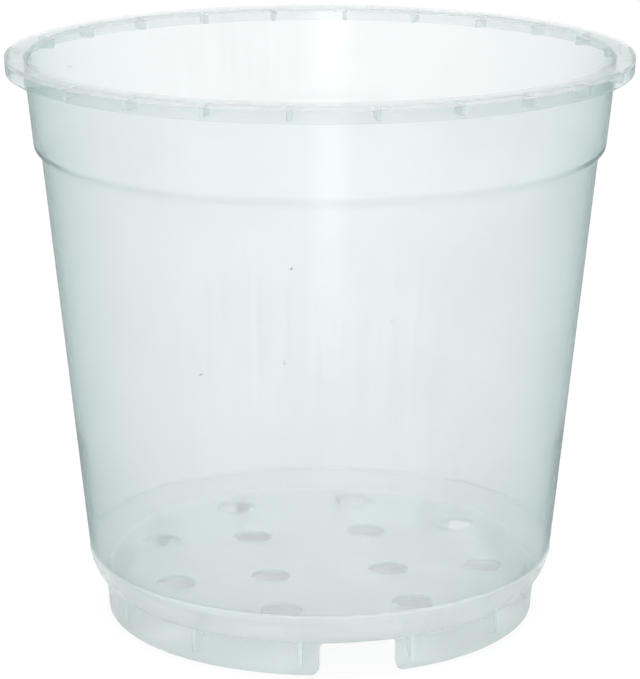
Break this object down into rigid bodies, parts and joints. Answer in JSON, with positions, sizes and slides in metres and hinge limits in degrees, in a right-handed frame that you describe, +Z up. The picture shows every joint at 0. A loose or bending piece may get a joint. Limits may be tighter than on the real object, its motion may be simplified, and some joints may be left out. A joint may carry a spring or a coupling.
{
  "type": "orchid pot",
  "caption": "Tapered round orchid pot of clear plastic with a flat ribbed rim, stepped collar, drain holes in the floor and a slotted foot ring.",
  "frame": {"origin": "centre of the foot's ground circle, on the surface that the pot stands on", "axes": "+Z up along the pot's axis, -Y out through the middle of the front foot slot"},
  "size_m": [0.15, 0.15, 0.1385],
  "materials": {
    "clear_plastic": "satin, milky clear polypropylene"
  },
  "bodies": {
    "root": {"rim_flange": "clear_plastic", "rim_skirt": "clear_plastic", "collar": "clear_plastic", "shoulder": "clear_plastic", "side_wall": "clear_plastic", "heel": "clear_plastic", "pot_floor": "clear_plastic", "foot_right": "clear_plastic", "foot_back": "clear_plastic", "foot_left": "clear_plastic", "rim_rib_01": "clear_plastic", "rim_rib_02": "clear_plastic", "rim_rib_03": "clear_plastic", "rim_rib_04": "clear_plastic", "rim_rib_05": "clear_plastic", "rim_rib_06": "clear_plastic", "rim_rib_07": "clear_plastic", "rim_rib_08": "clear_plastic", "rim_rib_09": "clear_plastic", "rim_rib_10": "clear_plastic", "rim_rib_11": "clear_plastic", "rim_rib_12": "clear_plastic", "rim_rib_13": "clear_plastic", "rim_rib_14": "clear_plastic", "rim_rib_15": "clear_plastic", "rim_rib_16": "clear_plastic", "rim_rib_17": "clear_plastic", "rim_rib_18": "clear_plastic", "rim_rib_19": "clear_plastic", "rim_rib_20": "clear_plastic", "rim_rib_21": "clear_plastic", "rim_rib_22": "clear_plastic", "rim_rib_23": "clear_plastic", "rim_rib_24": "clear_plastic", "foot_gusset_01": "clear_plastic", "foot_gusset_02": "clear_plastic", "foot_gusset_03": "clear_plastic", "foot_gusset_04": "clear_plastic", "foot_gusset_05": "clear_plastic", "foot_gusset_06": "clear_plastic", "foot_gusset_07": "clear_plastic", "foot_gusset_08": "clear_plastic", "foot_gusset_09": "clear_plastic", "foot_gusset_10": "clear_plastic", "foot_gusset_11": "clear_plastic", "foot_gusset_12": "clear_plastic"}
  },
  "joints": []
}
